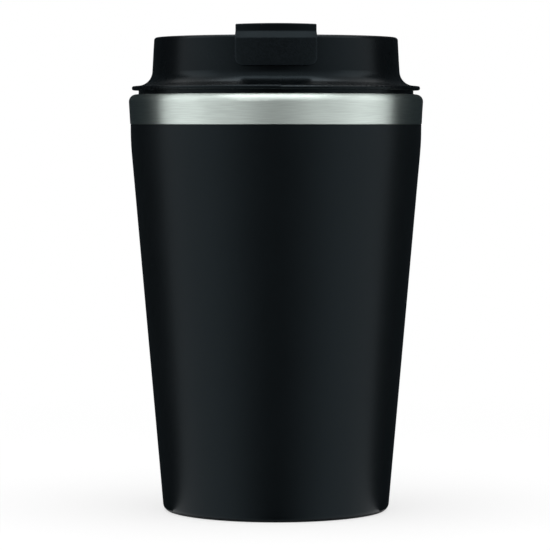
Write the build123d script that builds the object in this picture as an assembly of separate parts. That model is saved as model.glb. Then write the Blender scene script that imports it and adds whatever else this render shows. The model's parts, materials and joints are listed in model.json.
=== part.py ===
from build123d import *
import math
import os

# Insulated tumbler with a screw lid and a flip tab.
# Millimetres. Z up, origin at the centre of the foot. The tab and its skirt face -Y.

# ---------------------------------------------------------------------------
# Driving dimensions
# ---------------------------------------------------------------------------

# Cup, outside
mouth_height = 125.0          # top of the steel lip above the table
collar_radius = 43.64         # coated wall where it stands upright below the bare band
wall_taper = 5.0              # degrees from upright
band_height = 9.0             # bare steel between the coat's edge and the top of the lip
collar_height = 5.0           # coat's edge down to where taper and collar lines cross
collar_blend = 90.0           # radius of the long bend between them
foot_rounding = 2.2
foot_land = 1.25              # width of the flat ring the cup stands on
coat_thickness = 0.15
coat_lift = 0.15              # lower edge of the coat above the table
steel = 0.5                   # wall of every drawn steel piece

# Bare band and lip
band_step = 0.12              # how far the bare band stands proud of the coat
band_shoulder = 0.2           # height of the turned shoulder under the band
band_flare = 3.3              # degrees from upright
lip_width = 3.55              # collar to the inside of the neck
lip_rounding = 2.2            # outside rounding of the lip
lip_inner_rounding = 0.7
seam_inset = 1.4              # seam of shell and liner, from the inside of the neck

# Liner
liner_floor = 8.0             # height of the drink's floor above the table
liner_corner = 6.0            # rounding between floor and wall
shoulder_width = 2.0          # sealing shoulder: step from the neck down to the tapered wall
shoulder_lift = 1.0           # foot of the shoulder above the plug's underside

# Base
rim_width = 1.4               # flat edge of the base that lies on the shell's foot flange
base_recess = 2.4             # height of the recessed plate above the table
base_corner = 0.5
base_lift = 0.2               # lower edge of the base above the table
base_gap = 0.3                # foot flange to the base's upstanding wall
dimple_radius = 7.0
dimple_top_radius = 3.2
dimple_depth = 1.5
hole_radius = 0.9             # evacuation hole in the dimple
bead_height = 0.9             # bead below the hole
bead_stem = 0.4               # bead above the hole
getter_radius = 4.0
getter_height = 1.8
getter_share = 0.56           # getter's distance from the axis, as a share of the base's wall
strap_width = 2.6
strap_thickness = 0.3
strap_foot = 2.2              # length of each welded foot of the strap

# Lid, outside
seat_overlap = 1.13           # ring that rests on the lip, beyond the inside of the neck
seat_height = 1.2             # gap that the ring leaves between lip and flange
flange_reach = 5.92           # flange beyond the drum's foot
flange_edge = 1.2             # thickness at the rounded edge
flange_rise = 0.55            # climb of the flange from its edge to the drum
cove_radius = 4.4             # hollow rounding between flange and drum
drum_inset = 2.8              # drum's foot inside the neck's radius
drum_draft = 0.79             # drum's top inside its foot
drum_height = 17.0            # top of the rim above the lip
rim_width_top = 2.1
rim_rounding = 0.9
deck_depth = 4.6              # sunk deck below the rim
plastic = 1.8                 # wall of the lid mouldings
drum_wall = 1.9

# Lid, inside
plug_clearance = 1.6          # room for both threads between neck and plug
plug_depth = 17.6             # underside of the plug below the lip
plug_wall = 2.4
spigot_step = 1.05            # weld spigot inside the plug's outer wall
socket_depth = 3.2
weld_clearance = 0.1
gland_lift = 1.5              # lower side of the gasket groove above the plug's underside
gland_height = 3.2
gland_depth = 2.4
gland_flange_inset = 1.1      # flange that keeps the gasket on, inside the plug's outer wall
gasket_clearance = 0.3
gasket_body_inset = 0.3       # ring's plain part inside the plug's outer wall
gasket_lip = 0.4              # soft lip beyond the plug's outer wall
lip_thickness = 0.7

# Drink opening and vent, both in line under the tab
drink_inset = 8.41            # middle of the opening from the inside of the rim
drink_length = 12.0           # along X
drink_width = 7.0             # along Y
vent_spacing = 17.0           # behind the drink opening
vent_diameter = 2.6
tube_wall = 1.5
tube_step = 0.5               # bore of a tube beyond the opening it feeds
stopper_clearance = 0.35      # silicone to hole, all round
stopper_lift = 0.25           # silicone flange above the deck
stopper_flange = 1.5          # overhang and thickness of a stopper's flange
stopper_reach = 1.0           # how far a stopper dips into its hole
sleeve_overhang = 0.9         # sleeve round the post, beyond the hole
sleeve_wall = 1.3
post_fit = 0.05               # post to sleeve, all round

# Flip tab
tab_width = 23.4
skirt_flare = 0.2             # skirt wider than the plate, each side
tab_rise = 3.2                # highest line of the crowned plate above the rim
tab_crown = 0.2
tab_plate = 2.4               # thickness at the middle
plate_overhang = 1.51         # front edge of the plate beyond the drum's top
skirt_gap = 0.32              # skirt to the drum's foot
skirt_thickness = 1.45
skirt_drop = 8.95             # lower edge of the skirt below the rim
skirt_corner = 2.35
hollow_drop = 1.0             # hollow between plate and skirt, below and above the rim
hollow_radius = 1.0
tab_edge = 0.35               # rounding round the skirt's face and the plate
bend_radius = 1.6             # inside bend of plate and skirt
rib_thickness = 1.3
rib_gap = 0.3                 # ribs above and beside the stopper's flange

# Hinge
hinge_y = 9.0                 # pin behind the lid's axis
knuckle_radius = 2.8
knuckle_gap = 1.0             # knuckle above the deck
heel_length = 2.6             # plate behind the pin; its edge meets the deck when the tab is open
heel_rounding = 1.0
pin_radius = 1.0
pin_fit = 0.06
lug_gap = 0.3
lug_thickness = 2.5
lug_radius = 1.95             # small enough to stay hidden behind the raised rim
pin_inset = 0.35

# ---------------------------------------------------------------------------
# Levels and radii that follow from them
# ---------------------------------------------------------------------------

taper_slope = math.tan(math.radians(wall_taper))
taper_stretch = 1 / math.cos(math.radians(wall_taper))
flare_slope = math.tan(math.radians(band_flare))

coat_top = mouth_height - band_height
foot_radius = collar_radius - (coat_top - collar_height) * taper_slope
shell_depth = coat_thickness + steel
band_radius = collar_radius + band_step
lip_corner = band_radius + (band_height - band_shoulder) * flare_slope

neck_radius = collar_radius - lip_width
seam_radius = neck_radius + seam_inset
plug_floor = mouth_height - plug_depth
shoulder_height = plug_floor + shoulder_lift

seat_radius = neck_radius + seat_overlap
drum_foot_radius = neck_radius - drum_inset
drum_top_radius = drum_foot_radius - drum_draft
rim_inner_radius = drum_top_radius - rim_width_top
rim_height = mouth_height + drum_height
deck_height = rim_height - deck_depth
deck_underside = deck_height - plastic

plug_radius = neck_radius - plug_clearance
spigot_radius = plug_radius - spigot_step
socket_radius = spigot_radius + weld_clearance
gland_bottom = plug_floor + gland_lift
gland_top = gland_bottom + gland_height

hinge_height = deck_height + knuckle_radius + knuckle_gap
lug_inner = tab_width / 2 + lug_gap
drink_y = -(rim_inner_radius - drink_inset)
vent_y = drink_y + vent_spacing

tab_top = rim_height + tab_rise
crown_edge = tab_top - tab_crown
plate_underside = tab_top - tab_plate
plate_front = drum_top_radius + plate_overhang
flange_underside = deck_height + stopper_lift
flange_topside = flange_underside + stopper_flange
post_bottom = flange_underside + stopper_flange / 2

# each stopper's place on the centre line and the hole it closes
stoppers = {
    "spout_stopper": (drink_y, drink_length, drink_width),
    "vent_stopper": (vent_y, vent_diameter, vent_diameter),
}

# ---------------------------------------------------------------------------
# Shape helpers
# ---------------------------------------------------------------------------


def turned(*corners):
    """Ring or disc turned about Z; each corner of its section is (radius, height[, rounding])."""
    outline = FilletPolyline(
        *[corner[:2] for corner in corners],
        radius=[corner[2] if len(corner) > 2 else 0 for corner in corners],
        close=True,
    )
    return revolve(make_face(Plane.XZ * outline), Axis.Z)


def oval(length, width):
    """Flat oval with round ends, or a disc where both sizes are equal."""
    return Circle(width / 2) if length == width else SlotOverall(length, width)


def column(outline, y, bottom, top):
    """Upright prism on the lid's centre line."""
    return extrude(Pos(0, y, bottom) * outline, top - bottom)


def cup_radius(height, depth=0.0):
    """Radius of the tapered wall, or of the surface that lies depth inside it."""
    return foot_radius + height * taper_slope - depth * taper_stretch


def collar_corner(depth):
    """Height at which the taper line and the upright collar line cross, at that depth."""
    return (collar_radius - depth - cup_radius(0, depth)) / taper_slope


def liner_radius(height, depth=0.0):
    """Inside radius of the liner's tapered wall; depth goes outward into the steel."""
    drop = shoulder_height - height
    return neck_radius - shoulder_width - drop * taper_slope + depth * taper_stretch


# ---------------------------------------------------------------------------
# Cup
# ---------------------------------------------------------------------------

foot_bend_radius = cup_radius(foot_rounding, coat_thickness) - foot_rounding
foot_flange_radius = foot_bend_radius + coat_thickness - foot_land


def make_outer_shell():
    """Drawn outer wall: foot flange, taper, collar, turned shoulder, flared band and rolled lip."""
    return turned(
        (foot_flange_radius, 0),
        (cup_radius(0, coat_thickness), 0, foot_rounding - coat_thickness),
        (collar_radius - coat_thickness, collar_corner(coat_thickness), collar_blend),
        (collar_radius - coat_thickness, coat_top),
        (band_radius, coat_top + band_shoulder),
        (lip_corner, mouth_height, lip_rounding),
        (seam_radius, mouth_height),
        (seam_radius, mouth_height - steel),
        (lip_corner - steel, mouth_height - steel, lip_rounding - steel),
        (collar_radius - shell_depth, coat_top),
        (collar_radius - shell_depth, collar_corner(shell_depth), collar_blend),
        (cup_radius(steel, shell_depth), steel, foot_rounding - shell_depth),
        (foot_flange_radius, steel),
    )


def make_powder_coat():
    """Film over the wall from just above the foot ring up to the turned shoulder."""
    film = turned(
        (foot_bend_radius, -coat_thickness),
        (cup_radius(-coat_thickness), -coat_thickness, foot_rounding),
        (collar_radius, collar_corner(0), collar_blend),
        (collar_radius, coat_top),
        (collar_radius - coat_thickness, coat_top),
        (collar_radius - coat_thickness, collar_corner(coat_thickness), collar_blend),
        (cup_radius(0, coat_thickness), 0, foot_rounding - coat_thickness),
        (foot_bend_radius, 0),
    )
    below = Cylinder(collar_radius, foot_rounding, align=(Align.CENTER, Align.CENTER, Align.MAX))
    return film - Pos(0, 0, coat_lift) * below


def make_inner_liner():
    """Drawn liner: lip, upright neck, sealing shoulder, tapered wall and rounded floor."""
    shoulder_top = shoulder_height + shoulder_width
    outside_shift = steel * math.tan(math.radians(45 / 2))
    return turned(
        (0, liner_floor),
        (liner_radius(liner_floor), liner_floor, liner_corner),
        (neck_radius - shoulder_width, shoulder_height, steel),
        (neck_radius, shoulder_top, steel),
        (neck_radius, mouth_height, lip_inner_rounding),
        (seam_radius, mouth_height),
        (seam_radius, mouth_height - steel),
        (neck_radius + steel, mouth_height - steel),
        (neck_radius + steel, shoulder_top - outside_shift),
        (liner_radius(shoulder_height - outside_shift, steel), shoulder_height - outside_shift),
        (liner_radius(liner_floor - steel, steel), liner_floor - steel, liner_corner + steel),
        (0, liner_floor - steel),
    )


base_wall = foot_flange_radius - base_gap             # outside of the base's upstanding wall
plate_top = base_recess + steel
dimple_height = base_recess + dimple_depth
bead_radius = dimple_top_radius - base_corner
getter_offset = getter_share * base_wall


def make_outer_base():
    """Pressed base: flat edge on the foot flange, recessed plate, dimple with evacuation hole."""
    edge = base_wall + rim_width
    return turned(
        (edge, steel),
        (base_wall, steel),
        (base_wall, base_lift),
        (base_wall - steel, base_lift),
        (base_wall - steel, base_recess, base_corner),
        (dimple_radius, base_recess),
        (dimple_top_radius, dimple_height),
        (hole_radius, dimple_height),
        (hole_radius, dimple_height + steel),
        (dimple_top_radius + steel, dimple_height + steel),
        (dimple_radius + steel, plate_top),
        (base_wall, plate_top, 2 * base_corner),
        (base_wall, 2 * steel),
        (edge, 2 * steel),
    )


def make_base_cover():
    """Thin disc glued under the recessed plate."""
    radius = base_wall - steel - base_corner
    return turned(
        (0, base_recess - steel),
        (radius, base_recess - steel, steel / 2),
        (radius, base_recess),
        (0, base_recess),
    )


def make_vacuum_seal_bead():
    """Fused bead in the dimple, with a short stem up through the evacuation hole."""
    bottom = dimple_height - bead_height
    top = dimple_height + steel + bead_stem
    return turned(
        (0, bottom),
        (bead_radius, bottom, bead_height * 2 / 3),
        (bead_radius, dimple_height),
        (hole_radius, dimple_height),
        (hole_radius, top),
        (0, top),
    )


def make_getter_pellet():
    """Short pressed pill standing on the base inside the vacuum."""
    pellet = Cylinder(getter_radius, getter_height, align=(Align.CENTER, Align.CENTER, Align.MIN))
    return Pos(getter_offset, 0, plate_top) * pellet


def make_getter_holder():
    """Bent strap over the pellet with a welded foot at each end."""
    reach = getter_radius + strap_thickness
    under = plate_top + getter_height
    right = [
        (getter_radius, under),
        (getter_radius, plate_top),
        (reach + strap_foot, plate_top),
        (reach + strap_foot, plate_top + strap_thickness),
        (reach, plate_top + strap_thickness),
        (reach, under + strap_thickness),
    ]
    left = [(-x, z) for x, z in reversed(right)]
    strap = make_face(Plane.XZ * Polyline(*right, *left, close=True))
    return Pos(getter_offset, 0, 0) * extrude(strap, strap_width / 2, both=True)


# ---------------------------------------------------------------------------
# Lid
# ---------------------------------------------------------------------------


def make_lug(side):
    """Upright ear beside the tab, round the pin, standing on the deck."""
    ear = Pos(hinge_y, hinge_height) * Circle(lug_radius)
    web_height = hinge_height - deck_underside
    web = Pos(hinge_y, hinge_height - web_height / 2) * Rectangle(2 * lug_radius, web_height)
    lug = extrude(Plane.YZ * (ear + web), lug_thickness)
    start = lug_inner if side > 0 else -lug_inner - lug_thickness
    return Pos(start, 0, 0) * lug


def pin_bore(radius):
    """Cylinder on the hinge axis that passes both lugs."""
    length = 2 * (lug_inner + lug_thickness + lug_gap)
    return Pos(0, hinge_y, hinge_height) * Rot(0, 90, 0) * Cylinder(radius, length)


def make_lid_body():
    """Upper moulding: seat ring, flange, cove, drum with raised rim, deck, hinge lugs, openings."""
    flange_radius = drum_foot_radius + flange_reach
    flange_bottom = mouth_height + seat_height
    flange_top = flange_bottom + flange_edge
    shelf = mouth_height + socket_depth
    body = turned(
        (socket_radius, mouth_height),
        (seat_radius, mouth_height),
        (seat_radius, flange_bottom),
        (flange_radius, flange_bottom, 0.45 * flange_edge),
        (flange_radius, flange_top, 0.45 * flange_edge),
        (drum_foot_radius, flange_top + flange_rise, cove_radius),
        (drum_top_radius, rim_height, rim_rounding),
        (rim_inner_radius, rim_height, rim_rounding),
        (rim_inner_radius, deck_height, rim_rounding),
        (0, deck_height),
        (0, deck_underside),
        (drum_top_radius - drum_wall, deck_underside),
        (drum_foot_radius - drum_wall, shelf),
        (socket_radius, shelf),
    )
    for side in (-1, 1):
        body += make_lug(side)
    for y, length, width in stoppers.values():
        body -= column(oval(length, width), y, deck_underside, deck_height)
    return body - pin_bore(pin_radius)


def make_lid_plug():
    """Lower moulding: threaded wall, gasket groove, floor, drink channel, vent tube, weld spigot."""
    inside = plug_radius - plug_wall
    spigot_top = mouth_height + socket_depth - weld_clearance
    throat = plug_radius - gland_depth - plastic
    plug = turned(
        (0, plug_floor),
        (plug_radius - gland_flange_inset, plug_floor, gland_flange_inset / 2),
        (plug_radius - gland_flange_inset, gland_bottom),
        (plug_radius - gland_depth, gland_bottom),
        (plug_radius - gland_depth, gland_top),
        (plug_radius, gland_top),
        (plug_radius, mouth_height),
        (spigot_radius, mouth_height),
        (spigot_radius, spigot_top),
        (inside, spigot_top),
        (inside, gland_top + 2 * plastic),
        (throat, gland_top + plastic),
        (throat, plug_floor + plastic),
        (0, plug_floor + plastic),
    )
    for y, length, width in stoppers.values():
        bore = (length + tube_step, width + tube_step)
        tube = (bore[0] + 2 * tube_wall, bore[1] + 2 * tube_wall)
        plug += column(oval(*tube), y, plug_floor, deck_underside)
        plug -= column(oval(*bore), y, plug_floor, deck_underside)
    return plug


def make_lid_gasket():
    """Silicone ring: a square body in the groove and a soft lip that meets the shoulder."""
    bottom = gland_bottom + gasket_clearance
    top = gland_top - gasket_clearance
    inside = plug_radius - gland_depth + gasket_clearance
    body = plug_radius - gasket_body_inset
    lip = plug_radius + gasket_lip
    return turned(
        (inside, bottom),
        (body, bottom),
        (lip, bottom + lip_thickness, lip_thickness / 3),
        (lip, bottom + 2 * lip_thickness, lip_thickness / 3),
        (body, bottom + 3 * lip_thickness),
        (body, top),
        (inside, top),
    )


# ---------------------------------------------------------------------------
# Flip tab and what it carries
# ---------------------------------------------------------------------------

skirt_inner_radius = drum_foot_radius + skirt_gap
skirt_radius = skirt_inner_radius + skirt_thickness
skirt_bottom = rim_height - skirt_drop


def tab_outline():
    """The tab seen from the front: crowned top, wider skirt, rounded lower corners."""
    half = tab_width / 2
    skirt = half + skirt_flare
    sides = FilletPolyline(
        (half, crown_edge),
        (half, rim_height + hollow_drop),
        (skirt, rim_height - hollow_drop),
        (skirt, skirt_bottom),
        (-skirt, skirt_bottom),
        (-skirt, rim_height - hollow_drop),
        (-half, rim_height + hollow_drop),
        (-half, crown_edge),
        radius=[0, 0, skirt_corner, skirt_corner, 0, 0],
    )
    crown = ThreePointArc((-half, crown_edge), (0, tab_top), (half, crown_edge))
    return make_face(Plane.XZ * (sides + crown))


def on_show(point):
    """Whether a point lies on the plate's top or on the outside of the front."""
    on_top = point.Z > crown_edge - 0.01
    on_front = point.Y < 0 and math.hypot(point.X, point.Y) > plate_front - 0.01
    return on_top or on_front


def outline_edges(tab):
    """Edges round the top and the front face, without the seams that cross the front."""
    edges = []
    for edge in tab.edges():
        middle = edge.center()
        crosses = abs(middle.X) < 1 and skirt_bottom + 0.1 < middle.Z < crown_edge - 0.1
        if not crosses and all(on_show(edge.position_at(t)) for t in (0, 0.5, 1)):
            edges.append(edge)
    return edges


def make_hook():
    """Plate and hooked skirt as one bent sheet, crowned, cut to width and rounded all round."""
    sheet = turned(
        (0, plate_underside),
        (skirt_inner_radius, plate_underside, bend_radius),
        (skirt_inner_radius, skirt_bottom, tab_edge),
        (skirt_radius, skirt_bottom),
        (skirt_radius, rim_height - hollow_drop, hollow_radius),
        (plate_front, rim_height + hollow_drop, hollow_radius),
        (plate_front, tab_top + 1),
        (0, tab_top + 1),
    )
    heel = hinge_y + heel_length
    prism = extrude(Pos(0, heel, 0) * tab_outline(), 2 * skirt_radius, dir=(0, -1, 0))
    hook = sheet & prism
    heel_edge = hook.edges().filter_by(lambda edge: edge.center().Y > heel - 0.01).sort_by(Axis.Z)[-1]
    hook = fillet(heel_edge, heel_rounding)
    return fillet(outline_edges(hook), tab_edge)


def sleeve_size(length, width):
    """Outside of the sleeve that grips a post over a hole of that size."""
    return length + 2 * sleeve_overhang, width + 2 * sleeve_overhang


def post_size(length, width, fit=0.0):
    """Oval of the post inside that sleeve."""
    inset = 2 * (sleeve_wall + fit)
    sleeve_length, sleeve_width = sleeve_size(length, width)
    return sleeve_length - inset, sleeve_width - inset


def make_flip_tab():
    """Lever: the hooked plate, two ribs under it, the hinge knuckle and the stoppers' posts."""
    tab = make_hook()
    knuckle_length = tab_width - 2 * tab_edge
    web_height = plate_underside + tab_edge - hinge_height
    knuckle = Rot(0, 90, 0) * Cylinder(knuckle_radius, knuckle_length)
    web = Pos(0, 0, web_height / 2) * Box(knuckle_length, 2 * heel_length, web_height)
    tab += Pos(0, hinge_y, hinge_height) * (knuckle + web)
    rib_bottom = flange_topside + rib_gap
    rib_front = drink_y - drink_width / 2 - stopper_flange
    rib_inner = drink_length / 2 + stopper_flange + rib_gap / 2
    for side in (-1, 1):
        rib = Box(
            rib_thickness,
            hinge_y - rib_front,
            plate_underside + tab_edge - rib_bottom,
            align=(Align.CENTER, Align.MIN, Align.MIN),
        )
        tab += Pos(side * (rib_inner + rib_thickness / 2), rib_front, rib_bottom) * rib
    for y, length, width in stoppers.values():
        post = oval(*post_size(length, width, post_fit))
        tab += column(post, y, post_bottom, plate_underside + tab_edge)
    return tab - pin_bore(pin_radius + pin_fit)


def make_hinge_pin():
    """Plain pin with broken edges, held in both lugs."""
    length = 2 * (lug_inner + lug_thickness - pin_inset)
    pin = chamfer(Cylinder(pin_radius, length).edges().filter_by(GeomType.CIRCLE), pin_radius / 5)
    return Pos(0, hinge_y, hinge_height) * Rot(0, 90, 0) * pin


def make_stopper(y, length, width):
    """Silicone stopper: plug in the hole, flange over the deck, sleeve round the tab's post."""
    plug = oval(length - 2 * stopper_clearance, width - 2 * stopper_clearance)
    flange = oval(length + 2 * stopper_flange, width + 2 * stopper_flange)
    tip = column(plug, y, deck_height - stopper_reach, post_bottom)
    tip = chamfer(tip.edges().group_by(Axis.Z)[0], stopper_clearance)
    collar = column(flange, y, flange_underside, flange_topside)
    sleeve = column(oval(*sleeve_size(length, width)), y, post_bottom, plate_underside)
    socket = column(oval(*post_size(length, width)), y, post_bottom, plate_underside)
    return tip + collar + sleeve - socket


# ---------------------------------------------------------------------------
# The whole tumbler, one file for each piece
# ---------------------------------------------------------------------------

pieces = {
    "outer_shell": make_outer_shell(),
    "powder_coat": make_powder_coat(),
    "inner_liner": make_inner_liner(),
    "outer_base": make_outer_base(),
    "base_cover": make_base_cover(),
    "vacuum_seal_bead": make_vacuum_seal_bead(),
    "getter_pellet": make_getter_pellet(),
    "getter_holder": make_getter_holder(),
    "lid_body": make_lid_body(),
    "lid_plug": make_lid_plug(),
    "lid_gasket": make_lid_gasket(),
    "flip_tab": make_flip_tab(),
    "hinge_pin": make_hinge_pin(),
}
for name, hole in stoppers.items():
    pieces[name] = make_stopper(*hole)

os.makedirs("parts", exist_ok=True)
for name, piece in pieces.items():
    export_step(piece, f"parts/{name}.step")
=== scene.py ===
import json
import math

import bmesh
import bpy
from bpy.props import FloatProperty, FloatVectorProperty, IntProperty, PointerProperty
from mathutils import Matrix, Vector


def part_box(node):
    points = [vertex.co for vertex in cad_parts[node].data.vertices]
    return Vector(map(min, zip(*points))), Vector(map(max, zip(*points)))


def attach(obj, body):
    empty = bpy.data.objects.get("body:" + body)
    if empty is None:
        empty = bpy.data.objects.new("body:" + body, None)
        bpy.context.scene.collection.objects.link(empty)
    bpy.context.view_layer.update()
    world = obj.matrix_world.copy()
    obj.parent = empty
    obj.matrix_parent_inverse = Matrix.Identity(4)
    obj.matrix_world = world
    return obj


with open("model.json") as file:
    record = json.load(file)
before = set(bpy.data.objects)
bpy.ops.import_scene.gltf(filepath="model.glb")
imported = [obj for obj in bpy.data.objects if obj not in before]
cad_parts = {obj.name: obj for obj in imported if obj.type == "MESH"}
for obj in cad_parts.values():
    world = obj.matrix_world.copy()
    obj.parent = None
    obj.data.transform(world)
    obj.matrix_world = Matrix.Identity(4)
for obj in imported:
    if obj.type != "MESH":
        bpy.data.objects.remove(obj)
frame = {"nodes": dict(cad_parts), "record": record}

bl_info = {
    "name": "Insulated Tumbler",
    "version": (1, 0, 0),
    "blender": (4, 5, 0),
    "location": "3D View > Sidebar > Tumbler",
    "description": "Finishes, threads, lip weld and studio for a screw-lid insulated tumbler",
    "category": "Object",
}

MM = 0.001
BLACK_TINT = (0.66, 0.88, 1.0)

for stray in ("Cube", "Light", "Camera"):
    if stray in bpy.data.objects:
        bpy.data.objects.remove(bpy.data.objects[stray])

# Boxes are pairs of corners, low and high, in the frame's own metres.
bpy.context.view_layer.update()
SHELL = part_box("outer_shell")
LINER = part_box("inner_liner")
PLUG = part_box("lid_plug")
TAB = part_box("flip_tab")

MOUTH = SHELL[1].z  # top of the steel lip
TAB_BEND = 4.2 * MM  # the bend between the tab's top and its skirt, measured down from the top
SKIRT_TOP = TAB[1].z - TAB_BEND
SKIRT_DEPTH = 5.0 * MM  # how far the skirt's face reaches back from the tab's foremost line
SINK = 0.1 * MM  # how far an added piece dips into the piece that carries it
LEAD = 2 * math.pi * frame["record"]["behaviour"]["couplings"][0]["ratio"]  # rise of the lid in one turn


# ---------------------------------------------------------------------------
# Properties
# ---------------------------------------------------------------------------


class TumblerColours(bpy.types.PropertyGroup):
    """Colours of the tumbler's finishes."""

    coat: FloatVectorProperty(
        name="Powder coat", description="Colour of the coated wall", subtype="COLOR",
        size=3, min=0, max=1, default=(0.0020, 0.0027, 0.0033),
    )
    steel: FloatVectorProperty(
        name="Steel", description="Colour of the bare steel", subtype="COLOR",
        size=3, min=0, max=1, default=(0.70, 0.78, 0.74),
    )
    plastic: FloatVectorProperty(
        name="Lid plastic", description="Colour of the moulded lid", subtype="COLOR",
        size=3, min=0, max=1, default=(0.0020, 0.0027, 0.0033),
    )
    silicone: FloatVectorProperty(
        name="Silicone", description="Colour of the seal and the stoppers", subtype="COLOR",
        size=3, min=0, max=1, default=(0.42, 0.45, 0.45),
    )
    gloss_tint: FloatVectorProperty(
        name="Gloss tint", description="Tint of the sheen on the black finishes", subtype="COLOR",
        size=3, min=0, max=1, default=BLACK_TINT,
    )


class TumblerSizes(bpy.types.PropertyGroup):
    """Sizes of the details that the visual model adds."""

    thread_height: FloatProperty(
        name="Thread height", description="Plug's thread above its root",
        unit="LENGTH", min=0.2 * MM, default=1.2 * MM,
    )
    neck_thread_height: FloatProperty(
        name="Neck thread height", description="Rolled ridge inside the neck",
        unit="LENGTH", min=0.2 * MM, default=0.85 * MM,
    )
    thread_room: FloatProperty(
        name="Thread room", description="Gap between plug and neck that both threads share",
        unit="LENGTH", min=0.5 * MM, default=1.6 * MM,
    )
    thread_width: FloatProperty(
        name="Thread width", description="Width of a thread at its root",
        unit="LENGTH", min=0.5 * MM, default=1.9 * MM,
    )
    thread_depth: FloatProperty(
        name="Thread depth", description="Lower end of the plug's thread, below the mouth",
        unit="LENGTH", min=1.0 * MM, default=10.2 * MM,
    )
    thread_turn: FloatProperty(
        name="Thread turn", description="How far one thread winds round", subtype="ANGLE",
        min=math.radians(90), default=math.radians(250),
    )
    thread_starts: IntProperty(
        name="Thread starts", description="Number of threads side by side", min=1, max=4, default=2,
    )
    weld_width: FloatProperty(
        name="Weld width", description="Fine weld on top of the lip", unit="LENGTH",
        min=0.1 * MM, default=0.36 * MM,
    )
    weld_height: FloatProperty(
        name="Weld height", description="Rise of the weld above the lip", unit="LENGTH",
        min=0.01 * MM, default=0.06 * MM,
    )
    brush_depth: FloatProperty(
        name="Brushing depth", description="Depth of the brushed lines on the band",
        unit="LENGTH", min=0, default=0.004 * MM,
    )
    skirt_corner: FloatProperty(
        name="Skirt corner", description="Rounding of the tab's lower corners", unit="LENGTH",
        min=0, default=2.35 * MM,
    )
    # Width of the line round the tab's face; the line is painted lighter, as a painted highlight.
    skirt_highlight_edge: FloatProperty(
        name="Skirt border", description="Smooth line round the tab's grained face", unit="LENGTH",
        min=0, default=0.35 * MM,
    )
    grain_depth: FloatProperty(
        name="Grain depth", description="Depth of the spark-eroded grain on the tab",
        unit="LENGTH", min=0, default=0.09 * MM,
    )


class TumblerStudio(bpy.types.PropertyGroup):
    """Camera, lamps and cards of the studio."""

    camera_distance: FloatProperty(
        name="Camera distance", description="From the tumbler's axis", unit="LENGTH", default=0.9191,
    )
    camera_side: FloatProperty(
        name="Camera offset", description="Sideways from the tumbler's axis", unit="LENGTH",
        default=-0.29 * MM,
    )
    camera_height: FloatProperty(
        name="Camera height", description="Above the table", unit="LENGTH", default=0.11632,
    )
    camera_pitch: FloatProperty(
        name="Camera pitch", description="Tilt below the horizon", subtype="ANGLE",
        default=math.radians(2.84),
    )
    lens: FloatProperty(name="Lens", description="Focal length in millimetres", default=200.0)
    side_light: FloatProperty(
        name="Side lights", description="Brightness of the tall side panels", min=0, default=0.8,
    )
    top_light: FloatProperty(
        name="Top light", description="Brightness of the overhead panel", min=0, default=2.8,
    )
    sky: FloatProperty(
        name="Room light", description="Brightness of the even light of the room", min=0, default=0.5,
    )
    front_card: FloatProperty(
        name="Front card", description="Shade of the grey card in the middle of the front", min=0, max=1,
        default=0.11,
    )
    side_card: FloatProperty(
        name="Side cards", description="Shade of the white cards on the table and below the side panels",
        min=0, max=1, default=0.8,
    )
    back_card: FloatProperty(
        name="Back card", description="Shade of the black card round the back", min=0, max=1, default=0.024,
    )


# ---------------------------------------------------------------------------
# Shader expressions
# ---------------------------------------------------------------------------


class Signal:
    """A shader value that takes part in ordinary arithmetic."""

    def __init__(self, shading, socket):
        self.shading = shading
        self.socket = socket

    def math(self, operation, *others):
        return self.shading.node("ShaderNodeMath", {"operation": operation}, [self, *others])

    def __add__(self, other):
        return self.math("ADD", other)

    def __sub__(self, other):
        return self.math("SUBTRACT", other)

    def __rsub__(self, other):
        return self.shading.node("ShaderNodeMath", {"operation": "SUBTRACT"}, [other, self])

    def __mul__(self, other):
        return self.math("MULTIPLY", other)

    def __pow__(self, other):
        return self.math("POWER", other)

    __radd__ = __add__
    __rmul__ = __mul__

    def absolute(self):
        return self.math("ABSOLUTE")

    def ramp(self, low, high):
        """0 below low, 1 above high and smooth between; high may be the smaller of the two."""
        sockets = {"Value": self, "From Min": low, "From Max": high}
        if high < low:
            sockets = {"Value": self, "From Min": high, "From Max": low, "To Min": 1.0, "To Max": 0.0}
        return self.shading.node("ShaderNodeMapRange", {"interpolation_type": "SMOOTHSTEP"}, sockets)


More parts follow.
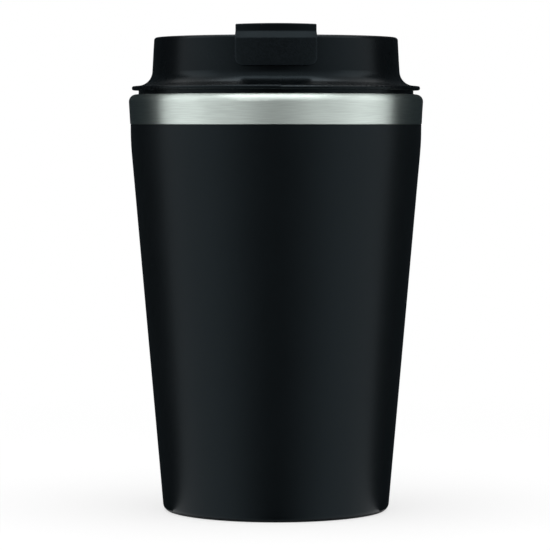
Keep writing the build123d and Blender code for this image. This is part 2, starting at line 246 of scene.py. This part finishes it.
class Shading:
    """Adds nodes to one shader tree and joins them up."""

    def __init__(self, tree):
        self.tree = tree

    def plug_in(self, socket, value):
        """Feeds a socket with a signal or a plain value."""
        if isinstance(value, Signal):
            self.tree.links.new(value.socket, socket)
        elif socket.type == "RGBA" and len(value) == 3:
            socket.default_value = (*value, 1.0)
        else:
            socket.default_value = value

    def node(self, kind, settings=None, sockets=None, output=0):
        """Adds a node: first its settings, then its sockets by name or in order; gives one output."""
        node = self.tree.nodes.new(kind)
        for name, value in (settings or {}).items():
            setattr(node, name, value)
        pairs = enumerate(sockets) if isinstance(sockets, list) else (sockets or {}).items()
        for key, value in pairs:
            self.plug_in(node.inputs[key], value)
        return Signal(self, node.outputs[output])

    def ray(self, kind):
        """1 for rays of one kind, else 0."""
        return self.node("ShaderNodeLightPath", output=f"Is {kind} Ray")

    def place(self):
        """Position on the piece, in metres, in its own frame."""
        return self.node("ShaderNodeTexCoord", output="Object")

    def scaled(self, vector, x, y, z):
        return self.node("ShaderNodeVectorMath", {"operation": "MULTIPLY"}, [vector, (x, y, z)])

    def axis(self, vector, name):
        return self.node("ShaderNodeSeparateXYZ", None, [vector], output=name)

    def noise(self, vector, scale=1.0, detail=2.0, roughness=0.5):
        sockets = {"Vector": vector, "Scale": scale, "Detail": detail, "Roughness": roughness}
        return self.node("ShaderNodeTexNoise", None, sockets)

    def grains(self, vector, scale):
        return self.node("ShaderNodeTexVoronoi", None, {"Vector": vector, "Scale": scale})

    def mix(self, factor, first, second):
        """Colour between two colours; sockets 0, 6 and 7 and output 2 are the ones for colours."""
        sockets = {0: factor, 6: first, 7: second}
        return self.node("ShaderNodeMix", {"data_type": "RGBA"}, sockets, output=2)

    def relief(self, height, depth, over=None):
        """Normal of a surface whose height runs from 0 to 1 over that depth in metres."""
        sockets = {"Height": height, "Distance": depth}
        if over is not None:
            sockets["Normal"] = over
        return self.node("ShaderNodeBump", None, sockets)


class Finish(Shading):
    """A material with a Principled shader, whose uniform values are given by name."""

    def __init__(self, name, **uniform):
        self.material = bpy.data.materials.new(name)
        self.material.use_nodes = True
        super().__init__(self.material.node_tree)
        self.shader = self.tree.nodes["Principled BSDF"]
        for socket, value in uniform.items():
            self.set(socket.replace("_", " "), value)

    def set(self, socket, value):
        """Gives a socket of the shader a plain value or a signal."""
        self.plug_in(self.shader.inputs[socket], value)


class Backdrop(Shading):
    """A material of the set, made from plain shaders."""

    def __init__(self, name):
        self.material = bpy.data.materials.new(name)
        self.material.use_nodes = True
        super().__init__(self.material.node_tree)
        self.tree.nodes.remove(self.tree.nodes["Principled BSDF"])

    def show(self, shader):
        self.plug_in(self.tree.nodes["Material Output"].inputs["Surface"], shader)
        return self.material


def shade(colour, factor):
    """The same colour, darker or lighter."""
    return tuple(min(1.0, channel * factor) for channel in colour)


# ---------------------------------------------------------------------------
# Mesh helpers
# ---------------------------------------------------------------------------


def mesh_data(name, mesh, finish):
    """Blender's own mesh from one that was built here, with its finish."""
    data = bpy.data.meshes.new(name)
    mesh.to_mesh(data)
    mesh.free()
    data.materials.append(finish)
    return data


def mesh_piece(name, mesh, body, finish):
    """Object with smooth faces that rides on a body and carries a finish."""
    bmesh.ops.recalc_face_normals(mesh, faces=mesh.faces)
    data = mesh_data(name, mesh, finish)
    data.shade_smooth()
    piece = bpy.data.objects.new(name, data)
    bpy.context.scene.collection.objects.link(piece)
    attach(piece, body)


def sweep(mesh, rings):
    """Skin over neighbouring rings of points, each of them closed."""
    for first, second in zip(rings, rings[1:]):
        for index in range(len(first)):
            ahead = (index + 1) % len(first)
            mesh.faces.new((first[index], second[index], second[ahead], first[ahead]))


def turned(section, segments=192):
    """Ring turned about the tumbler's axis from a closed section of (radius, height) points."""
    mesh = bmesh.new()
    rings = []
    for segment in range(segments):
        angle = 2 * math.pi * segment / segments
        rings.append([
            mesh.verts.new((radius * math.cos(angle), radius * math.sin(angle), height))
            for radius, height in section
        ])
    sweep(mesh, rings + rings[:1])
    return mesh


def smoothstep(value):
    """0 at 0 and below, 1 at 1 and above, smooth between."""
    value = min(1.0, max(0.0, value))
    return value * value * (3 - 2 * value)


def ridge(mesh, root, height, width, low, turn, start):
    """One helical ridge that rises from nothing and fades out again; a negative height points inward."""
    steps = 180
    runout = 0.08  # share of the turn over which the ridge rises or fades
    foot = root - math.copysign(SINK, height)
    rings = []
    for step in range(steps + 1):
        share = step / steps
        angle = start + turn * share
        level = low + LEAD * turn * share / (2 * math.pi)
        crest = root + height * smoothstep(share / runout) * smoothstep((1 - share) / runout)
        flank = root + 0.62 * (crest - root)
        section = (
            (foot, -0.50), (root, -0.50), (flank, -0.36), (crest, -0.20),
            (crest, 0.20), (flank, 0.36), (root, 0.50), (foot, 0.50),
        )
        rings.append([
            mesh.verts.new((radius * math.cos(angle), radius * math.sin(angle), level + width * across))
            for radius, across in section
        ])
    sweep(mesh, rings)
    mesh.faces.new(rings[0])
    mesh.faces.new(rings[-1])


def dress(node, finish):
    """Gives a node of the frame its finish."""
    slots = frame["nodes"][node].material_slots
    if not slots:
        raise RuntimeError(f"{node} has no place for a finish")
    for slot in slots:
        slot.material = finish


def finish_of(node):
    """Finish that a node of the frame already has."""
    return frame["nodes"][node].material_slots[0].material


# ---------------------------------------------------------------------------
# Finishes
# ---------------------------------------------------------------------------


def coat_finish(colours):
    """Satin powder coat: fine orange peel and specks over a faint cloudiness."""
    finish = Finish("satin_coat", Specular_IOR_Level=0.26, Specular_Tint=colours.gloss_tint)
    place = finish.place()
    cloud = finish.noise(place, scale=90, detail=3)
    peel = finish.noise(place, scale=1400)
    speck = finish.noise(place, scale=5200, detail=1)
    finish.set("Base Color", finish.mix(cloud, shade(colours.coat, 0.85), shade(colours.coat, 1.15)))
    finish.set("Roughness", 0.32 + 0.06 * cloud)
    waves = finish.relief(peel, 0.006 * MM)
    finish.set("Normal", finish.relief(speck, 0.002 * MM, waves))
    return finish.material


def brushed_finish(colours, sizes):
    """Bare steel brushed round the cup: long fine lines, a few deeper ones."""
    finish = Finish("brushed_band", Metallic=1.0, Anisotropic=0.95, Anisotropic_Rotation=0.25)
    place = finish.place()
    fine = finish.noise(finish.scaled(place, 40, 40, 9000), detail=3, roughness=0.6)
    coarse = finish.noise(finish.scaled(place, 70, 70, 2600))
    streak = finish.noise(finish.scaled(place, 160, 160, 5200), detail=1)
    lines = 0.6 * fine + 0.4 * coarse
    dull = shade(colours.steel, 0.92)
    bright = shade(colours.steel, 1.04)
    finish.set("Base Color", finish.mix(streak.ramp(0.3, 0.7), dull, bright))
    finish.set("Roughness", 0.40 + 0.08 * coarse)
    finish.set("Normal", finish.relief(lines, sizes.brush_depth))
    return finish.material


def drawn_finish(colours, name, roughness):
    """Drawn steel: faint level lines round the axis over a satin ground."""
    finish = Finish(name, Metallic=1.0)
    place = finish.place()
    lines = finish.noise(finish.scaled(place, 50, 50, 3000))
    return lined_steel(finish, place, lines, colours, roughness)


def spun_finish(colours, name, roughness):
    """Spun or pressed steel: faint rings about the axis over a satin ground."""
    finish = Finish(name, Metallic=1.0)
    place = finish.place()
    across = finish.axis(place, "X")
    along = finish.axis(place, "Y")
    radius = (across * across + along * along) ** 0.5
    rings = finish.node("ShaderNodeCombineXYZ", None, [radius * 3000, 0.0, 0.0])
    return lined_steel(finish, place, finish.noise(rings), colours, roughness)


def lined_steel(finish, place, lines, colours, roughness):
    """Satin steel with the given fine lines."""
    cloud = finish.noise(place, scale=60)
    finish.set("Base Color", finish.mix(cloud, shade(colours.steel, 0.86), shade(colours.steel, 1.0)))
    finish.set("Roughness", roughness + 0.12 * lines)
    finish.set("Normal", finish.relief(lines, 0.003 * MM))
    return finish.material


def moulded_finish(colours, name, roughness, specular):
    """Moulded polypropylene: fine eroded grain and faint flow marks."""
    finish = Finish(name, Specular_IOR_Level=specular, Specular_Tint=colours.gloss_tint)
    place = finish.place()
    flow = finish.noise(place, scale=130)
    pits = finish.noise(place, scale=3600)
    finish.set("Base Color", finish.mix(flow, shade(colours.plastic, 0.85), shade(colours.plastic, 1.15)))
    finish.set("Roughness", roughness + 0.06 * flow)
    finish.set("Normal", finish.relief(pits, 0.004 * MM))
    return finish.material


def grained_finish(colours, sizes):
    """The tab: satin all round, eroded grain on the face, and a smoother line round its edge that is also
    painted lighter as a painted highlight.
    """
    finish = Finish("grained_tab", Specular_IOR_Level=0.16, Specular_Tint=colours.gloss_tint)
    place = finish.place()
    corner = sizes.skirt_corner
    highlight_edge_width = sizes.skirt_highlight_edge
    grain_line = 1.3 * highlight_edge_width
    height = finish.axis(place, "Z")
    across = (finish.axis(place, "X").absolute() - (TAB[1].x - corner)).math("MAXIMUM", 0.0)
    along = (TAB[0].z + corner - height).math("MAXIMUM", 0.0)
    inside = corner - (across * across + along * along) ** 0.5
    face_back = TAB[0].y + SKIRT_DEPTH
    front = finish.axis(place, "Y").ramp(face_back + 0.5 * MM, face_back)
    below_bend = height.ramp(SKIRT_TOP + 0.3 * MM, SKIRT_TOP - 0.3 * MM)
    face = front * below_bend * inside.ramp(highlight_edge_width, grain_line)
    # Band along the face's edge: smoother, and painted lighter below as a painted highlight of the rounded
    # edge.
    smooth_edge_and_highlight = front * inside.ramp(grain_line, highlight_edge_width) * inside.ramp(-0.2 * MM, 0.0)
    pits = finish.noise(place, scale=1700, detail=3, roughness=0.65)
    fine = finish.noise(place, scale=5200, detail=1)
    plain = finish.mix(pits.ramp(0.4, 0.62) * face, colours.plastic, shade(colours.plastic, 2.2))
    # Painted highlight: the edge band's colour is 3.5 times lighter than the plastic.
    finish.set("Base Color", finish.mix(smooth_edge_and_highlight, plain, shade(colours.plastic, 3.5)))
    finish.set("Roughness", 0.3 + 0.12 * face - 0.1 * smooth_edge_and_highlight)
    finish.set("Normal", finish.relief(pits * face + 0.1 * fine, sizes.grain_depth))
    return finish.material


def silicone_finish(colours):
    """Soft matt silicone with a dusting of fine pores."""
    finish = Finish("soft_silicone", Specular_IOR_Level=0.4)
    place = finish.place()
    cloud = finish.noise(place, scale=300)
    pores = finish.noise(place, scale=4200, detail=1)
    finish.set("Base Color", finish.mix(cloud, shade(colours.silicone, 0.9), shade(colours.silicone, 1.05)))
    finish.set("Roughness", 0.5 + 0.1 * cloud)
    finish.set("Normal", finish.relief(pores, 0.004 * MM))
    return finish.material


def granular_finish(name, dark, light, roughness, scale, metallic=0.0):
    """Pressed powder, fused glass or plain strip: grains between two shades."""
    finish = Finish(name, Metallic=metallic)
    place = finish.place()
    grains = finish.grains(place, scale)
    cloud = finish.noise(place, scale=scale / 4)
    finish.set("Base Color", finish.mix(cloud, dark, light))
    finish.set("Roughness", roughness + 0.1 * cloud)
    finish.set("Normal", finish.relief(grains, 0.01 * MM))
    return finish.material


def glass_finish():
    """Brown solder glass."""
    dark = (0.20, 0.18, 0.14)
    light = (0.32, 0.3, 0.25)
    return granular_finish("fused_bead", dark, light, roughness=0.12, scale=900)


def powder_finish():
    """Dark pressed metal powder."""
    dark = (0.05, 0.05, 0.055)
    light = (0.12, 0.12, 0.13)
    return granular_finish("pressed_powder", dark, light, roughness=0.7, scale=3000)


def strip_finish():
    """Plain rolled steel strip."""
    dark = (0.42, 0.42, 0.42)
    light = (0.55, 0.55, 0.54)
    return granular_finish("plain_strip", dark, light, roughness=0.3, scale=1500, metallic=1.0)


def floor_finish():
    """White where the camera looks, with the tumbler's soft shadow near its foot."""
    finish = Backdrop("pale_floor")
    camera_ray = finish.ray("Camera")
    bounce = finish.node("ShaderNodeBsdfDiffuse", None, {"Color": (0.82, 0.82, 0.82)})
    shaded = finish.node("ShaderNodeBsdfDiffuse", None, {"Color": (0.34, 0.34, 0.34)})
    glow = finish.node("ShaderNodeEmission", None, {"Strength": 0.66})
    white = finish.node("ShaderNodeEmission", None, {"Strength": 1.0})
    near = finish.node("ShaderNodeAddShader", None, [shaded, glow])
    distance = finish.node("ShaderNodeVectorMath", {"operation": "LENGTH"}, [finish.place()], output="Value")
    seen = finish.node("ShaderNodeMixShader", None, [distance.ramp(0.12, 0.40), near, white])
    return finish.show(finish.node("ShaderNodeMixShader", None, [camera_ray, bounce, seen]))


def card_finish(name, end, middle, ends):
    """Glowing paper that goes from one colour straight ahead to another at the end bearing."""
    paper = Finish(name, Base_Color=(0, 0, 0), Specular_IOR_Level=0.0, Roughness=1.0)
    place = paper.place()
    bearing = paper.axis(place, "X").math("ARCTAN2", -1.0 * paper.axis(place, "Y")).absolute()
    paper.set("Emission Color", paper.mix(bearing.ramp(0.0, end), middle, ends))
    paper.set("Emission Strength", 1.0)
    return paper.material


# ---------------------------------------------------------------------------
# Set
# ---------------------------------------------------------------------------


def panel(name, width, height, place, target, brightness):
    """Rectangular soft lamp of a given brightness that faces a point."""
    data = bpy.data.lights.new(name, "AREA")
    data.shape = "RECTANGLE"
    data.size = width
    data.size_y = height
    data.energy = brightness * math.pi * width * height
    lamp = bpy.data.objects.new(name, data)
    lamp.location = place
    lamp.rotation_euler = (Vector(target) - Vector(place)).to_track_quat("-Z", "Y").to_euler()
    bpy.context.scene.collection.objects.link(lamp)


def card(name, middle, ends, start, end, radius, height):
    """Card on the table and up the sides of the set between two bearings, seen only in reflections.

    It fans out from a point under the front of the cup. Bearings are in degrees from straight ahead.
    """
    steps = 48
    lift = 1 * MM
    mesh = bmesh.new()
    columns = []
    for step in range(steps + 1):
        bearing = math.radians(start + (end - start) * step / steps)
        columns.append([
            mesh.verts.new((reach * math.sin(bearing), -reach * math.cos(bearing), level))
            for reach, level in ((10 * MM, lift), (radius, lift), (radius, height))
        ])
    for first, second in zip(columns, columns[1:]):
        mesh.faces.new((first[0], second[0], second[1], first[1]))
        mesh.faces.new((first[1], second[1], second[2], first[2]))
    finish = card_finish(name, math.radians(end), middle, ends)
    piece = bpy.data.objects.new(name, mesh_data(name, mesh, finish))
    piece.location.y = -20 * MM
    piece.visible_camera = False
    piece.visible_diffuse = False
    piece.visible_transmission = False
    piece.visible_shadow = False
    bpy.context.scene.collection.objects.link(piece)


# ---------------------------------------------------------------------------
# Operators
# ---------------------------------------------------------------------------


class TUMBLER_OT_cup(bpy.types.Operator):
    """Finish the coated wall, the bare band and the liner"""

    bl_idname = "tumbler.cup"
    bl_label = "Cup"

    def execute(self, context):
        colours = context.scene.tumbler_colours
        sizes = context.scene.tumbler_sizes
        dress("powder_coat", coat_finish(colours))
        dress("outer_shell", brushed_finish(colours, sizes))
        dress("inner_liner", drawn_finish(colours, "drawn_liner", roughness=0.26))
        return {"FINISHED"}


class TUMBLER_OT_weld(bpy.types.Operator):
    """Build the fine weld that joins shell and liner on the lip"""

    bl_idname = "tumbler.weld"
    bl_label = "Lip Weld"

    def execute(self, context):
        sizes = context.scene.tumbler_sizes
        seam = LINER[1].x
        half = sizes.weld_width / 2
        crown = 0.4 * half
        top = MOUTH + sizes.weld_height
        mesh = turned((
            (seam - half, MOUTH - SINK), (seam + half, MOUTH - SINK), (seam + half, MOUTH),
            (seam + crown, top), (seam - crown, top), (seam - half, MOUTH),
        ))
        finish = drawn_finish(context.scene.tumbler_colours, "fused_weld", roughness=0.3)
        mesh_piece("lip_weld", mesh, "cup", finish)
        return {"FINISHED"}


class TUMBLER_OT_base(bpy.types.Operator):
    """Finish the base, its cover and what is sealed behind it"""

    bl_idname = "tumbler.base"
    bl_label = "Base"

    def execute(self, context):
        colours = context.scene.tumbler_colours
        dress("outer_base", spun_finish(colours, "pressed_base", roughness=0.34))
        dress("base_cover", spun_finish(colours, "spun_cover", roughness=0.22))
        dress("vacuum_seal_bead", glass_finish())
        dress("getter_pellet", powder_finish())
        dress("getter_holder", strip_finish())
        return {"FINISHED"}


class TUMBLER_OT_lid(bpy.types.Operator):
    """Finish the lid's two mouldings and its hinge pin"""

    bl_idname = "tumbler.lid"
    bl_label = "Lid"

    def execute(self, context):
        colours = context.scene.tumbler_colours
        dress("lid_body", moulded_finish(colours, "moulded_lid", roughness=0.24, specular=0.18))
        dress("lid_plug", moulded_finish(colours, "moulded_plug", roughness=0.36, specular=0.4))
        dress("hinge_pin", drawn_finish(colours, "drawn_pin", roughness=0.18))
        return {"FINISHED"}


class TUMBLER_OT_tab(bpy.types.Operator):
    """Finish the flip tab"""

    bl_idname = "tumbler.tab"
    bl_label = "Flip Tab"

    def execute(self, context):
        colours = context.scene.tumbler_colours
        sizes = context.scene.tumbler_sizes
        dress("flip_tab", grained_finish(colours, sizes))
        return {"FINISHED"}


class TUMBLER_OT_seals(bpy.types.Operator):
    """Finish the silicone ring and the stoppers"""

    bl_idname = "tumbler.seals"
    bl_label = "Seals"

    def execute(self, context):
        finish = silicone_finish(context.scene.tumbler_colours)
        for node in ("lid_gasket", "spout_stopper", "vent_stopper"):
            dress(node, finish)
        return {"FINISHED"}


class TUMBLER_OT_threads(bpy.types.Operator):
    """Build the plug's thread and the rolled thread inside the neck, after cup and lid have their finish"""

    bl_idname = "tumbler.threads"
    bl_label = "Threads"

    def execute(self, context):
        sizes = context.scene.tumbler_sizes
        plug_root = PLUG[1].x
        neck_root = plug_root + sizes.thread_room
        plug_low = MOUTH - sizes.thread_depth
        neck_low = plug_low + 0.8 * sizes.thread_width
        width = sizes.thread_width
        turn = sizes.thread_turn
        plug_mesh = bmesh.new()
        neck_mesh = bmesh.new()
        for start in range(sizes.thread_starts):
            angle = 2 * math.pi * start / sizes.thread_starts
            ridge(plug_mesh, plug_root, sizes.thread_height, width, plug_low, turn, angle)
            ridge(neck_mesh, neck_root, -sizes.neck_thread_height, width, neck_low, turn, angle)
        mesh_piece("plug_thread", plug_mesh, "lid", finish_of("lid_plug"))
        mesh_piece("neck_thread", neck_mesh, "cup", finish_of("inner_liner"))
        return {"FINISHED"}


class TUMBLER_OT_studio(bpy.types.Operator):
    """Set up the floor, the lamps, the reflected cards, the room and the camera"""

    bl_idname = "tumbler.studio"
    bl_label = "Studio"

    def execute(self, context):
        scene = context.scene
        studio = scene.tumbler_studio
        self.floor()
        self.lamps(studio)
        self.cards(studio)
        self.room(scene, studio)
        self.camera(scene, studio)
        scene.view_settings.view_transform = "Standard"
        return {"FINISHED"}

    def floor(self):
        reach = 20  # metres from the tumbler to each edge
        mesh = bmesh.new()
        bmesh.ops.create_grid(mesh, x_segments=1, y_segments=1, size=reach)
        floor = bpy.data.objects.new("floor", mesh_data("floor", mesh, floor_finish()))
        bpy.context.scene.collection.objects.link(floor)

    def lamps(self, studio):
        height = 0.4
        ahead = -0.12
        for name, side in (("left_panel", -0.7), ("right_panel", 0.7)):
            panel(name, 0.49, 0.8, (side, ahead, height), (0, ahead, height), studio.side_light)
        panel("top_panel", 0.75, 0.75, (0, -0.1, 0.9), (0, 0, 0.1), studio.top_light)

    def cards(self, studio):
        front = (studio.front_card,) * 3
        side = (studio.side_card,) * 3
        back = shade(BLACK_TINT, studio.back_card)
        card("front_card", front, side, start=-62, end=62, radius=0.75, height=0.45)
        card("left_card", side, side, start=-101, end=-62, radius=0.69, height=0.28)
        card("right_card", side, side, start=62, end=101, radius=0.69, height=0.28)
        card("back_card", back, back, start=101, end=259, radius=0.75, height=0.7)

    def room(self, scene, studio):
        """Plain white where it is seen, and the even light of the room elsewhere."""
        world = bpy.data.worlds.new("room")
        scene.world = world
        world.use_nodes = True
        shading = Shading(world.node_tree)
        seen = shading.ray("Camera").math("MAXIMUM", shading.ray("Glossy"))
        seen = seen.math("MAXIMUM", shading.ray("Transmission"))
        level = {"Value": seen, "To Min": studio.sky, "To Max": 1.0}
        background = world.node_tree.nodes["Background"]
        shading.plug_in(background.inputs["Color"], (1, 1, 1))
        shading.plug_in(background.inputs["Strength"], shading.node("ShaderNodeMapRange", None, level))

    def camera(self, scene, studio):
        data = bpy.data.cameras.new("camera")
        data.lens = studio.lens
        data.sensor_width = 36
        camera = bpy.data.objects.new("camera", data)
        camera.location = (studio.camera_side, -studio.camera_distance, studio.camera_height)
        camera.rotation_euler = (math.pi / 2 - studio.camera_pitch, 0, 0)
        scene.collection.objects.link(camera)
        scene.camera = camera


OPERATORS = (
    TUMBLER_OT_cup,
    TUMBLER_OT_weld,
    TUMBLER_OT_base,
    TUMBLER_OT_lid,
    TUMBLER_OT_tab,
    TUMBLER_OT_seals,
    TUMBLER_OT_threads,
    TUMBLER_OT_studio,
)


class TUMBLER_PT_panel(bpy.types.Panel):
    """Lists the tumbler's settings and the buttons of its steps"""

    bl_label = "Tumbler"
    bl_idname = "TUMBLER_PT_panel"
    bl_space_type = "VIEW_3D"
    bl_region_type = "UI"
    bl_category = "Tumbler"

    def draw(self, context):
        scene = context.scene
        for group in (scene.tumbler_colours, scene.tumbler_sizes, scene.tumbler_studio):
            box = self.layout.box()
            for name in group.__annotations__:
                box.prop(group, name)
        for operator in OPERATORS:
            self.layout.operator(operator.bl_idname)


GROUPS = {
    "tumbler_colours": TumblerColours,
    "tumbler_sizes": TumblerSizes,
    "tumbler_studio": TumblerStudio,
}


def register():
    for name, group in GROUPS.items():
        bpy.utils.register_class(group)
        setattr(bpy.types.Scene, name, PointerProperty(type=group))
    for operator in OPERATORS:
        bpy.utils.register_class(operator)
    bpy.utils.register_class(TUMBLER_PT_panel)


def unregister():
    bpy.utils.unregister_class(TUMBLER_PT_panel)
    for operator in reversed(OPERATORS):
        bpy.utils.unregister_class(operator)
    for name, group in GROUPS.items():
        delattr(bpy.types.Scene, name)
        bpy.utils.unregister_class(group)


def main():
    register()
    for operator in OPERATORS:
        family, action = operator.bl_idname.split(".")
        getattr(getattr(bpy.ops, family), action)()


if __name__ == "__main__":
    main()
